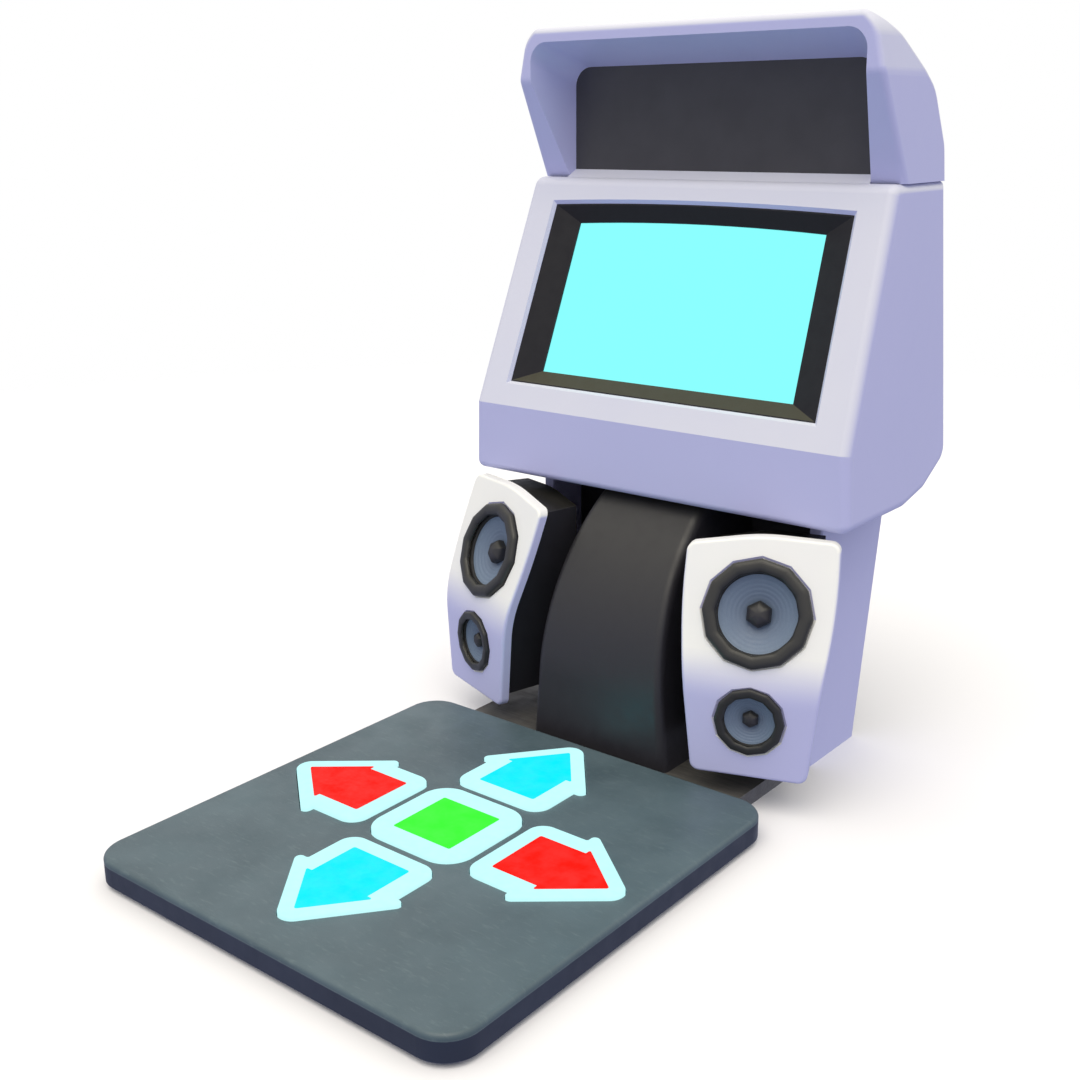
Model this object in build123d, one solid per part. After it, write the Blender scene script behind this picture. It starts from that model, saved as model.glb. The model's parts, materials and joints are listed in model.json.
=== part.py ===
"""Dance rhythm machine: a low stage with five light-up step panels, and a speaker cabinet behind it.

Millimetres. X is the player's right, +Y points to the back and +Z is up. The parts are laid out from
the line where the stage meets the cabinet (y = 0), and move to the middle of the footprint on writing.
"""
from build123d import *
import math
import os

# ---- Stage: overall sizes
stage_width = 1200
stage_depth = 1236
stage_height = 80
stage_corner = 90
stage_bottom_bevel = 9
deck_thickness = 16
deck_edge_round = 12
foot_height = 6
foot_radius = 30
foot_inset = 130
tray_wall = 5
tray_floor = 4
post_size = 40
stage_gap = 0.3
post_x = 300
post_reach = 300

# ---- Step panels
cross_y = -590
panel_thickness = 20
panel_rise = 8
panel_clearance = 3
panel_spacing = 28
panel_bevel = 2
centre_panel_size = 314
centre_corner = 75
centre_insert_size = 192
centre_insert_corner = 5
arrow_length = 386
arrow_tail_half = 148
arrow_notch = 150
arrow_wing_half = 190
arrow_corners = (46, 4, 14, 40, 14, 4, 46)
insert_inset = 46
insert_length = 280
insert_tail_half = 94
insert_notch = 140
insert_wing_half = 113
insert_corners = (6, 2, 4, 6, 4, 2, 6)
insert_depth = 6
insert_proud = 0.6
pad_radius = 14
pad_height = 18
centre_pad_reach = 110
arrow_pad_half = 108
arrow_pad_near = 46
arrow_pad_far = 285
arrow_board_place = 130
sensor_size = 30
board_size = 150
board_thickness = 3

# ---- Cabinet base and column
plinth_half = 474
plinth_depth = 680
plinth_top = 45
plinth_round = 5
plinth_setback = 2
column_half = 488
column_wall = 40
column_front = 420
column_foot_y = 682
column_lean = 9.2
column_bevel = 5
column_lip = 10
back_sheet = 12
liner_y = 560
liner_thickness = 12
fit_gap = 0.3

# ---- Curved pedestal cover in front of the column
pedestal_front = 41
pedestal_foot_half = 236
pedestal_top_half = 178
pedestal_bend_z = 250
pedestal_bend_radius = 600
pedestal_round = 26
pedestal_wall = 6

# ---- Monitor housing
head_floor_z = 756
chin_top_z = 966
head_split_z = 1626
chin_y = 258
head_foot_half = 638
head_kink_half = 584
head_kink_z = 1902
head_top_half = 550
head_top_z = 2056
face_lean = 21.4
side_wall = 20
front_wall = 40
chin_wall = 36
floor_wall = 18
housing_round = 26
lip_round = 34
housing_rear = ((612, 756), (738, 782), (880, 856), (820, 1626))
housing_rear_rounds = (60, 60, 60, 0)
chin_slant = 4
chin_foot_round = 22
cleat = 22

# ---- Screen
opening_foot = 77
opening_height = 552
opening_foot_half = 515
opening_top_half = 493
opening_bevel = 9
opening_crown = 12
screen_recess = 36.5
screen_foot = 123
screen_height = 459.5
screen_foot_half = 425
screen_top_half = 410
bezel_wall = 4
glass_width = 864
glass_height = 492
glass_thickness = 6
monitor_width = 900
monitor_height = 524
monitor_depth = 58
monitor_bevel = 12

# ---- Marquee hood
hood_foot_y = 570
hood_kink = (427, 1902)
hood_roof = ((426, 2056), (570, 1992), (742, 1868), (812, 1720))
hood_roof_rounds = (18, 160, 120, 90)
hood_rim = 48
hood_wall = 20
hood_round = 16
hood_kink_round = 40
hood_corner = 90
hood_shoulder = 120
marquee_y = 590
marquee_half = 492
marquee_top_z = 1942
marquee_corner = 56
marquee_thickness = 8
marquee_lap = 10
marquee_top_lap = 4
marquee_foot_lap = 18
shelf_rise = 22
lamp_length = 860
lamp_width = 34
lamp_depth = 26
lamp_rows = (1720, 1840)

# ---- Back panel and service door
back_thickness = 18
back_foot = 38
door_width = 960
door_height = 470
door_foot = 60
door_gap = 3
door_vent = (360, 8)
door_vent_foot = 120
door_vent_rows = 5
panel_vent = (220, 8)
panel_vent_x = 330
panel_vent_rows = 4
vent_pitch = 24
pivot_radius = 4
pivot_length = 36
pivot_play = 0.08
lock_radius = 11
lock_slack = 0.08
lock_inset = 34
lock_collar = 4
lock_collar_gap = 0.3
cam_length = 46
cam_width = 16
cam_thickness = 3
grip_size = (30, 7, 12)

# ---- Exhaust fan
fan_size = 140
fan_depth = 25
fan_bore = 65
fan_hub = 21
fan_blades = 7
fan_pin = 3
fan_v = 645
fan_arm_width = 8
fan_arm_depth = 6
fan_blade_width = 20
fan_blade_sheet = 2
fan_blade_pitch = 34
fan_tip_gap = 1.5
fan_rotor_gap = 1
fan_front_gap = 1.5
fan_guard_holes = 6

# ---- Speakers
speaker_x = 485
speaker_y = 66
speaker_yaw = 20
speaker_lean = 20
speaker_bend_z = 384
speaker_bend_radius = 380
baffle_thickness = 30
baffle_round = 9
baffle_outline = ((-10, 741), (198, 736), (206, 560), (156, 104), (-156, 104), (-206, 560), (-205, 708))
baffle_rounds = (600, 26, 1400, 26, 26, 1400, 26)
recess_depth = 5
recess_slope = 6
recess_gap = 1
box_depth = 250
box_inset = 24
box_wall = 15
box_taper = 0.8
arm_width = 90
arm_low_z = 300
arm_height = 180
arm_front = 150
woofer_radius = 147
woofer_z = 548
mid_radius = 94
mid_z = 266
cone_gap = 0.3
cone_sheet = 3
flange_height = 4
ring_sides = 12
# Shares of a driver's radius.
ring_bore = 0.745
ring_crown = 0.11
flange_share = 0.93
hole_share = 0.87
basket_share = 0.862
bore_share = 0.83
driver_depth = 0.36
magnet_radius = 0.5
magnet_depth = 0.28
coil_inner = 0.175
coil_outer = 0.195
cone_rim = -0.05
cone_edge = (0.72, -0.1)
cap_radius = 0.24
cap_top = -0.04

# ---- Power inlet, rocker switch, electronics
inlet_x = 330
inlet_v = 130
inlet_width = 30
inlet_height = 60
inlet_depth = 26
inlet_flange = 3
inlet_lap = 6
socket_size = (24, 24)
socket_foot = 30
socket_floor = 3
contact_size = (2, 4, 10.2)
contact_places = ((-6, -3), (6, -3), (0, 4))
contact_foot = 8
rocker_width = 16
rocker_height = 22
rocker_side_room = 0.6
rocker_tilt_room = 1.6
rocker_slope = 10
rocker_axle_radius = 1.5
rocker_axle_end = 2
rocker_axle_depth = 5
rocker_well = 14
rocker_v = 14
computer_size = (150, 300, 300)
computer_y = 320
amplifier_size = (300, 230, 80)
amplifier_y = 450
fin_count = 14
fin_sheet = 3
fin_height = 14
fin_margin = 20
supply_size = (200, 80, 140)
supply_z = 300
screw_radius = 3
screw_head_radius = 6
screw_head_height = 3.5
screw_length = 16
screw_play = 0.15
screw_drill = 300
screw_socket = 2
column_screw_rows = (70, 240, 410, 580)
head_screw_rows = (120, 330, 540, 690)
head_screw_inset = 15

# Longer than the whole machine, for cuts that run right through.
REACH = 3000

deck_bottom = stage_height - deck_thickness
tray_top = foot_height + tray_floor
panel_top = stage_height + panel_rise
panel_bottom = panel_top - panel_thickness
arrow_offset = centre_panel_size / 2 + panel_spacing


def head_half(z):
    """The monitor housing's half width at a height: its sides lean in towards the top."""
    share = (z - head_floor_z) / (head_kink_z - head_floor_z)
    return head_foot_half + (head_kink_half - head_foot_half) * share


column_screw_x = column_half - column_wall / 2
head_screw_x = head_half(head_split_z) - side_wall - head_screw_inset
lock_v = door_foot + door_height - door_gap - lock_inset
lean = math.radians(column_lean)
back_lean = math.atan2(housing_rear[2][0] - housing_rear[3][0], housing_rear[3][1] - housing_rear[2][1])
face = math.radians(face_lean)
face_length = (head_split_z - chin_top_z) / math.cos(face)
lip_y = chin_y + (head_split_z - chin_top_z) * math.tan(face)

face_plane = Plane(
    origin=(0, chin_y, chin_top_z), x_dir=(1, 0, 0), z_dir=(0, -math.cos(face), math.sin(face))
)
column_plane = Plane(
    origin=(0, column_foot_y, 0), x_dir=(-1, 0, 0), z_dir=(0, math.cos(lean), -math.sin(lean))
)
back_plane = Plane(
    origin=(0, *housing_rear[2]), x_dir=(-1, 0, 0), z_dir=(0, math.cos(back_lean), math.sin(back_lean))
)

parts = {}


def add(name, *solids):
    """Keep one named part, made of one solid or of several separate ones."""
    parts[name] = solids[0] if len(solids) == 1 else Compound(children=list(solids))


def outline(points, radii):
    """A flat face with straight sides and a round at each corner."""
    return make_face(FilletPolyline(*points, radius=list(radii), close=True))


def side_prism(points, radii, half=REACH):
    """A solid whose side view is the outline, reaching half to each side of the middle."""
    return extrude(Plane.YZ * outline(points, radii), amount=half, both=True)


def front_prism(points, radii, half=REACH):
    """A solid whose front view is the outline, running through from front to back."""
    return extrude(Plane.XZ * outline(points, radii), amount=half, both=True)


def block(low, high):
    """A box from its lowest corner to its highest."""
    size = [b - a for a, b in zip(low, high)]
    return Pos(*low) * Box(*size, align=(Align.MIN, Align.MIN, Align.MIN))


def turned(profile):
    """A solid of revolution about the Z axis, from (radius, height) points."""
    return revolve(Plane.XZ * make_face(Polyline(*profile, close=True)), axis=Axis.Z)


def side_edges(solid, low=-REACH, high=REACH):
    """The edges round a solid's left and right faces, between two heights."""
    walls = [f for f in solid.faces() if abs(f.normal_at().X) > 0.9]
    return ShapeList(e for f in walls for e in f.edges() if low < e.center().Z < high)


def spread(low, high, count):
    """Evenly spaced places from low to high."""
    return [low + (high - low) * i / (count - 1) for i in range(count)]


def screw_shanks(rows, half, radius, depth):
    """Straight shanks on a local plane, in rows at both sides, from just outside it to a depth."""
    return [Pos(x, v, 1 - depth / 2) * Cylinder(radius, depth + 2) for x in (-half, half) for v in rows]


# ---- Stage
def stage_outline(inset):
    """The stage's rounded square from above, moved in by the inset."""
    width = stage_width - 2 * inset
    depth = stage_depth - 2 * inset
    return Pos(0, -stage_depth / 2) * RectangleRounded(width, depth, stage_corner - inset)


def arrow_outline(length, tail_half, notch, wing_half, rounds):
    """A broad arrow that points to +Y, with its tail on the X axis."""
    points = (
        (tail_half, 0),
        (tail_half, notch),
        (wing_half, notch),
        (0, length),
        (-wing_half, notch),
        (-tail_half, notch),
        (-tail_half, 0),
    )
    return outline(points, rounds)


centre_shape = RectangleRounded(centre_panel_size, centre_panel_size, centre_corner)
centre_insert = RectangleRounded(centre_insert_size, centre_insert_size, centre_insert_corner)
arrow_shape = Pos(0, arrow_offset) * arrow_outline(
    arrow_length, arrow_tail_half, arrow_notch, arrow_wing_half, arrow_corners
)
arrow_insert = Pos(0, arrow_offset + insert_inset) * arrow_outline(
    insert_length, insert_tail_half, insert_notch, insert_wing_half, insert_corners
)
arrow_supports = [
    (-arrow_pad_half, arrow_offset + arrow_pad_near),
    (arrow_pad_half, arrow_offset + arrow_pad_near),
    (0, arrow_offset + arrow_pad_far),
]
centre_supports = [(x * centre_pad_reach, y * centre_pad_reach) for x in (-1, 1) for y in (-1, 1)]
arrow_board = (0, arrow_offset + arrow_board_place)
# Each panel: its shape, its lens, its pads, its light board and the side of the cross that it turns to.
step_panels = {
    "centre": (centre_shape, centre_insert, centre_supports, (0, 0), 0),
    "up": (arrow_shape, arrow_insert, arrow_supports, arrow_board, 0),
    "left": (arrow_shape, arrow_insert, arrow_supports, arrow_board, 90),
    "down": (arrow_shape, arrow_insert, arrow_supports, arrow_board, 180),
    "right": (arrow_shape, arrow_insert, arrow_supports, arrow_board, 270),
}


def at_panel(turn, z):
    """The place of a step panel's pieces: the cross's middle, turned to the panel's side."""
    return Pos(0, cross_y, z) * Rot(0, 0, turn)


def make_step_panels():
    """The five panels with their lenses, and the pads, sensors and light boards under them."""
    sensors = []
    boards = []
    for name, (shape, insert, supports, board_at, turn) in step_panels.items():
        place = at_panel(turn, panel_bottom)
        slab = extrude(shape, panel_thickness)
        slab = chamfer(slab.faces().sort_by(Axis.Z)[-1].edges(), panel_bevel)
        pocket = Pos(0, 0, panel_thickness - insert_depth) * extrude(insert, 2 * insert_depth)
        add(f"{name}_step_panel", place * (slab - pocket))
        lens = extrude(offset(insert, -fit_gap), insert_depth + insert_proud)
        add(f"{name}_step_lens", place * Pos(0, 0, panel_thickness - insert_depth) * lens)
        pad = Cylinder(pad_radius, pad_height)
        pads = [at_panel(turn, panel_bottom - pad_height / 2) * Pos(x, y) * pad for x, y in supports]
        add(f"{name}_panel_pads", *pads)
        sensor_height = panel_bottom - pad_height - tray_top
        sensor = Box(sensor_size, sensor_size, sensor_height)
        sensors += [at_panel(turn, tray_top + sensor_height / 2) * Pos(x, y) * sensor for x, y in supports]
        board = Box(board_size, board_size, board_thickness)
        boards.append(at_panel(turn, tray_top + board_thickness / 2) * Pos(*board_at) * board)
    add("panel_sensors", *sensors)
    add("panel_light_boards", *boards)


def make_stage():
    """The steel tray with its four posts, the deck with the panels' holes, and the feet."""
    shell = Pos(0, 0, foot_height) * extrude(stage_outline(0), deck_bottom - foot_height)
    shell = chamfer(shell.faces().sort_by(Axis.Z)[0].edges(), stage_bottom_bevel)
    hollow = Pos(0, 0, tray_top) * extrude(stage_outline(tray_wall + stage_bottom_bevel), stage_height)
    tray = shell - hollow
    for x in (-post_x, post_x):
        for y in (cross_y - post_reach, cross_y + post_reach):
            low = (x - post_size / 2, y - post_size / 2, tray_top)
            tray += block(low, (x + post_size / 2, y + post_size / 2, deck_bottom))
    add("stage_frame", tray)

    deck = Pos(0, 0, deck_bottom) * extrude(stage_outline(0), deck_thickness)
    deck = fillet(deck.faces().sort_by(Axis.Z)[-1].edges(), deck_edge_round)
    for shape, _, _, _, turn in step_panels.values():
        hole = offset(shape, panel_clearance, kind=Kind.INTERSECTION)
        deck -= at_panel(turn, 0) * extrude(hole, stage_height)
    add("stage_deck", deck)

    feet = []
    for x in (foot_inset - stage_width / 2, 0, stage_width / 2 - foot_inset):
        for y in (foot_inset - stage_depth, -stage_depth / 2, -foot_inset):
            feet.append(Pos(x, y, foot_height / 2) * Cylinder(foot_radius, foot_height))
    add("stage_feet", *feet)


# ---- Cabinet base, column and pedestal
def column_rear(z):
    """The column's outer back edge at a height."""
    return column_foot_y + z * math.tan(lean)


def make_column():
    """The plinth, the two side walls with the back sheet let in between them, and the dark liner."""
    plinth_rear = plinth_depth - back_sheet - plinth_setback
    base = block((-plinth_half, stage_gap, 0), (plinth_half, plinth_rear, plinth_top))
    add("plinth", chamfer(base.edges().filter_by(Axis.X).sort_by(Axis.Z)[-2:], plinth_round))

    # The back edge meets the housing's sloping underside between its second and third corners.
    (y0, z0), (y1, z1), (y2, z2) = housing_rear[:3]
    slope = (z2 - z1) / (y2 - y1)
    meeting_z = (z1 + slope * (column_foot_y - y1)) / (1 - slope * math.tan(lean)) - 3 * fit_gap
    profile = [
        (column_front, 0),
        (column_front, head_floor_z - fit_gap),
        (y0, z0 - fit_gap),
        (y1, z1 - 2 * fit_gap),
        (column_rear(meeting_z), meeting_z),
        (column_foot_y, 0),
    ]
    side = side_prism(profile, [0] * len(profile))
    lip_x = column_half - column_lip
    sheet = column_plane.location * block((-lip_x, -REACH, -back_sheet), (lip_x, REACH, REACH))
    wall = (side - sheet) & block((column_half - column_wall, -REACH, 0), (column_half, REACH, REACH))
    wall = chamfer(wall.edges().filter_by(Axis.Z).group_by(Axis.Y)[0], column_bevel)
    wall -= block((0, stage_gap, 0), (plinth_half + fit_gap, REACH, plinth_top + fit_gap))
    drills = screw_shanks(column_screw_rows, column_screw_x, screw_radius + screw_play, screw_drill)
    for drill in drills:
        wall -= column_plane.location * drill
    add("column_side_right", wall)
    add("column_side_left", mirror(wall, about=Plane.YZ))

    back = side & sheet
    for drill in drills:
        back -= column_plane.location * drill
    inlet_low = (-inlet_x - inlet_width / 2, inlet_v, -back_sheet - 1)
    back -= column_plane.location * block(inlet_low, (inlet_width / 2 - inlet_x, inlet_v + inlet_height, 1))
    add("column_back", back)

    liner_half = column_half - column_wall - fit_gap
    liner_low = (-liner_half, liner_y, plinth_top)
    add("column_liner", block(liner_low, (liner_half, liner_y + liner_thickness, head_floor_z - fit_gap)))


def pedestal_body(inset):
    """The pedestal's outer shape, or its inside when inset."""
    bend_end_z = head_floor_z - fit_gap
    rise = bend_end_z - pedestal_bend_z
    bend_y = pedestal_front + pedestal_bend_radius - math.sqrt(pedestal_bend_radius**2 - rise**2)
    half_rise = rise / 2
    mid_y = pedestal_front + pedestal_bend_radius - math.sqrt(pedestal_bend_radius**2 - half_rise**2)
    front = ThreePointArc(
        (pedestal_front + inset, pedestal_bend_z),
        (mid_y + inset, pedestal_bend_z + half_rise),
        (bend_y + inset, bend_end_z),
    )
    rest = Polyline(
        (bend_y + inset, bend_end_z),
        (liner_y, bend_end_z),
        (liner_y, plinth_top),
        (pedestal_front + inset, plinth_top),
        (pedestal_front + inset, pedestal_bend_z),
    )
    body = extrude(Plane.YZ * make_face([front, rest]), amount=REACH, both=True)
    foot = pedestal_foot_half - inset
    top = pedestal_top_half - inset
    corners = ((foot, plinth_top), (top, bend_end_z), (-top, bend_end_z), (-foot, plinth_top))
    body &= front_prism(corners, (0, 0, 0, 0))
    upright = [e for e in side_edges(body) if e.bounding_box().size.Z > pedestal_round]
    front_edges = [e for e in upright if e.center().Y < liner_y / 2 + pedestal_front]
    return fillet(front_edges, pedestal_round - inset)


def make_pedestal():
    add("pedestal_cover", pedestal_body(0) - pedestal_body(pedestal_wall))


# ---- Monitor housing
def head_front_prism(inset):
    """The housing's front view, moved in by the inset."""
    points = [
        (head_foot_half - inset, head_floor_z),
        (head_kink_half - inset, head_kink_z),
        (head_top_half - inset, head_top_z),
        (inset - head_top_half, head_top_z),
        (inset - head_kink_half, head_kink_z),
        (inset - head_foot_half, head_floor_z),
    ]
    return front_prism(points, (0, hood_shoulder, hood_corner, hood_corner, hood_shoulder, 0))


def housing_profile():
    """The housing's side view, from the lip over the screen down the face and round to the back."""
    points = [(lip_y, head_split_z), (chin_y, chin_top_z), (chin_y + chin_slant, head_floor_z), *housing_rear]
    return side_prism(points, (lip_round, 0, chin_foot_round, *housing_rear_rounds))


def in_front_of_face(depth, low=0):
    """The space from the screen face back to a depth, above the chin line."""
    return face_plane.location * block((-REACH, low, -depth), (REACH, REACH, REACH))


def screen_outline(foot, height, foot_half, top_half, depth):
    """A face across the screen: leaning sides, and a top edge that rises a little to the middle."""
    top = foot + height
    sides = Polyline((-top_half, top), (-foot_half, foot), (foot_half, foot), (top_half, top))
    crown = ThreePointArc((top_half, top), (0, top + opening_crown), (-top_half, top))
    return Pos(0, 0, -depth) * make_face([sides, crown])


def opening_outline(inset, depth):
    """The outline of the opening in the monitor surround, moved in by the inset."""
    height = opening_height - 2 * inset
    foot_half = opening_foot_half - inset
    return screen_outline(opening_foot + inset, height, foot_half, opening_top_half - inset, depth)


def make_surround(solid):
    """The face round the screen, and the shelf that carries the marquee."""
    opening = extrude(opening_outline(0, 0), amount=front_wall * 2, both=True)
    bevel = loft([opening_outline(0, opening_bevel), opening_outline(-opening_bevel, 0)])
    surround = solid & in_front_of_face(front_wall)
    surround -= face_plane.location * opening
    surround -= face_plane.location * bevel
    shelf_points = [
        (lip_y + front_wall, head_split_z),
        (marquee_y, head_split_z + shelf_rise),
        (marquee_y, head_split_z - side_wall),
        (lip_y + front_wall / 2, head_split_z - side_wall),
        (lip_y + front_wall / 2, head_split_z),
    ]
    shelf = side_prism(shelf_points, [0] * len(shelf_points)) & recess_solid(2 * fit_gap)
    add("monitor_surround", surround + shelf)


def make_housing():
    """The face, the chin, the two sides, the floor and the back panel of the monitor's housing."""
    profile = housing_profile()
    solid = profile & head_front_prism(0)
    solid = fillet(side_edges(solid, high=head_split_z - 1), housing_round)
    make_surround(solid)
    chin_slab = block((-REACH, -REACH, 0), (REACH, chin_y + chin_wall, REACH))
    add("chin_panel", (solid & chin_slab) - in_front_of_face(REACH))

    behind = solid - in_front_of_face(front_wall, -REACH) - chin_slab
    shell = behind - head_front_prism(side_wall)
    cleat_low = (side_wall - head_half(head_floor_z), back_foot, -back_thickness - cleat)
    cleat_high = (side_wall + cleat - head_half(head_split_z), face_length, -back_thickness)
    cleat_bar = back_plane.location * block(cleat_low, cleat_high)
    cleat_top = head_split_z - cleat
    right = (shell + (cleat_bar & behind)) & block((0, -REACH, 0), (REACH, REACH, cleat_top))
    right += shell & block((0, -REACH, cleat_top), (REACH, REACH, REACH))
    drills = screw_shanks(head_screw_rows, head_screw_x, screw_radius + screw_play, screw_drill)
    for drill in drills:
        right -= back_plane.location * drill
    add("head_side_right", right)
    add("head_side_left", mirror(right, about=Plane.YZ))

    inside = behind & head_front_prism(side_wall + fit_gap)
    back_slab = back_plane.location * block((-REACH, back_foot, -back_thickness), (REACH, REACH, REACH))
    cleat_room = back_plane.location * block(
        (-REACH, back_foot - floor_wall, -back_thickness - cleat - fit_gap),
        (REACH, REACH, fit_gap - back_thickness),
    )
    add("head_floor", inside - Pos(0, 0, floor_wall) * profile - back_slab - cleat_room)

    doorway_low = (-door_width / 2, door_foot, -2 * back_thickness)
    doorway = block(doorway_low, (door_width / 2, door_foot + door_height, back_thickness))
    cuts = [doorway, *drills]
    for row in range(panel_vent_rows):
        for x in (-panel_vent_x, panel_vent_x):
            v = fan_v + vent_pitch * (row - (panel_vent_rows - 1) / 2)
            cuts.append(Pos(x, v) * Box(*panel_vent, 4 * back_thickness))
    for hole in range(fan_guard_holes):
        spot = Rot(0, 0, 360 * hole / fan_guard_holes) * Pos(0.6 * fan_bore, 0)
        cuts.append(Pos(0, fan_v) * spot * Cylinder(fan_bore / 4, 4 * back_thickness))
    back = inside & back_slab
    for cut in cuts:
        back -= back_plane.location * cut
    for hole in pivot_solids(pivot_radius + pivot_play / 2):
        back -= hole
    add("head_back_panel", back)


def make_screen():
    """The sunk bezel, the glass behind it and the monitor's case."""
    front = opening_bevel + 1
    glass_depth = screen_recess + bezel_wall
    sunk = screen_outline(screen_foot, screen_height, screen_foot_half, screen_top_half, screen_recess)
    outer = loft([opening_outline(fit_gap, front), opening_outline(fit_gap, glass_depth)])
    inner = loft([sunk, opening_outline(bezel_wall, front)])
    window = extrude(sunk, amount=screen_recess, both=True)
    add("screen_bezel", face_plane.location * (outer - inner - window))
    middle = screen_foot + screen_height / 2
    glass = Box(glass_width, glass_height, glass_thickness)
    add("monitor_glass", face_plane.location * Pos(0, middle, -glass_depth - glass_thickness / 2) * glass)
    case_middle = -glass_depth - glass_thickness - monitor_depth / 2
    case = Pos(0, middle, case_middle) * Box(monitor_width, monitor_height, monitor_depth)
    case = chamfer(case.faces().sort_by(Axis.Z)[0].edges(), monitor_bevel)
    add("monitor_chassis", face_plane.location * case)


# ---- Marquee hood
def hood_profile(inset=0):
    """The hood's side view, moved in by the inset."""
    points = [(hood_foot_y, head_split_z), hood_kink, *hood_roof, housing_rear[3]]
    view = outline(points, (0, hood_kink_round, *hood_roof_rounds, 0))
    if inset:
        view = offset(view, -inset, kind=Kind.INTERSECTION)
    return extrude(Plane.YZ * view, amount=REACH, both=True)


def recess_section(y, gap):
    """The marquee recess at a depth: it narrows evenly towards the panel."""
    share = (marquee_y - y) / (marquee_y - hood_roof[0][0])
    half = marquee_half + share * (head_half(head_kink_z) - hood_rim - marquee_half) - gap
    top = marquee_top_z + share * (hood_roof[0][1] - hood_rim - marquee_top_z) - gap
    low = head_split_z - 2 * side_wall
    points = ((half, low), (half, top), (-half, top), (-half, low))
    return Plane.XZ.offset(-y) * outline(points, (0, marquee_corner, marquee_corner, 0))


def recess_solid(gap=0):
    """The room of the marquee recess, from the panel to just outside the hood."""
    return loft([recess_section(marquee_y, gap), recess_section(hood_roof[0][0] - hood_rim, gap)])


def hood_cavity(wall):
    """The room behind the marquee, inside a wall, and open at the bottom."""
    room = hood_profile(wall) & head_front_prism(wall)
    return room + Pos(0, 0, -hood_wall - 5) * room


def make_hood():
    """The hood, the blank marquee panel in its recess and the two lamps behind the panel."""
    solid = hood_profile() & head_front_prism(0)
    solid = fillet(side_edges(solid, low=head_split_z + 1), hood_round)
    cavity = hood_cavity(hood_wall) & block((-REACH, marquee_y, 0), (REACH, REACH, REACH))
    add("head_hood", solid - recess_solid() - cavity)

    half = marquee_half + marquee_lap
    foot = head_split_z - marquee_foot_lap
    top = marquee_top_z + marquee_top_lap
    panel = front_prism(
        ((half, foot), (half, top), (-half, top), (-half, foot)), (0, marquee_corner, marquee_corner, 0)
    )
    panel &= block((-REACH, marquee_y, 0), (REACH, marquee_y + marquee_thickness, REACH))
    add("marquee_panel", panel & hood_cavity(hood_wall + fit_gap))
    lamp_y = marquee_y + marquee_thickness
    lamps = []
    for z in lamp_rows:
        low = (-lamp_length / 2, lamp_y, z)
        lamps.append(block(low, (lamp_length / 2, lamp_y + lamp_depth, z + lamp_width)))
    add("marquee_lamps", *lamps)


# ---- Service door
def pivot_solids(radius):
    """The door's top and bottom pivot pins, half in the door and half in the panel."""
    x = door_width / 2 - door_gap - back_thickness / 2
    pins = []
    for v in (door_foot, door_foot + door_height):
        pin = Cylinder(radius, pivot_length, rotation=(90, 0, 0))
        pins.append(back_plane.location * Pos(x, v, -back_thickness / 2) * pin)
    return pins


def make_door():
    """The vented service door, its pivot pins and its cam lock."""
    low_x = door_gap - door_width / 2
    high_x = door_width / 2 - door_gap - back_thickness / 2
    low_v = door_foot + door_gap
    high_v = door_foot + door_height - door_gap
    leaf = block((low_x, low_v, -back_thickness), (high_x, high_v, 0))
    round_edge = Cylinder(back_thickness / 2, high_v - low_v, rotation=(90, 0, 0))
    leaf += Pos(high_x, (low_v + high_v) / 2, -back_thickness / 2) * round_edge
    leaf -= Pos(0, lock_v) * Cylinder(lock_radius + lock_slack, 4 * back_thickness)
    for row in range(door_vent_rows):
        leaf -= Pos(0, door_foot + door_vent_foot + vent_pitch * row) * Box(*door_vent, 4 * back_thickness)
    door = back_plane.location * leaf
    for hole in pivot_solids(pivot_radius + pivot_play):
        door -= hole
    add("service_door", door)
    add("door_pivots", *pivot_solids(pivot_radius))

    cam_front = -back_thickness - 1
    cam_back = cam_front - cam_thickness
    barrel = Pos(0, 0, (cam_back + lock_collar) / 2) * Cylinder(lock_radius, lock_collar - cam_back)
    collar = Pos(0, 0, lock_collar_gap + lock_collar / 2) * Cylinder(lock_radius + lock_collar, lock_collar)
    grip = Pos(0, 0, lock_collar + grip_size[2] / 2) * Box(*grip_size)
    cam = block((-cam_length, -cam_width / 2, cam_back), (0, cam_width / 2, cam_front))
    add("door_lock", back_plane.location * Pos(0, lock_v) * (barrel + collar + grip + cam))


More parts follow.
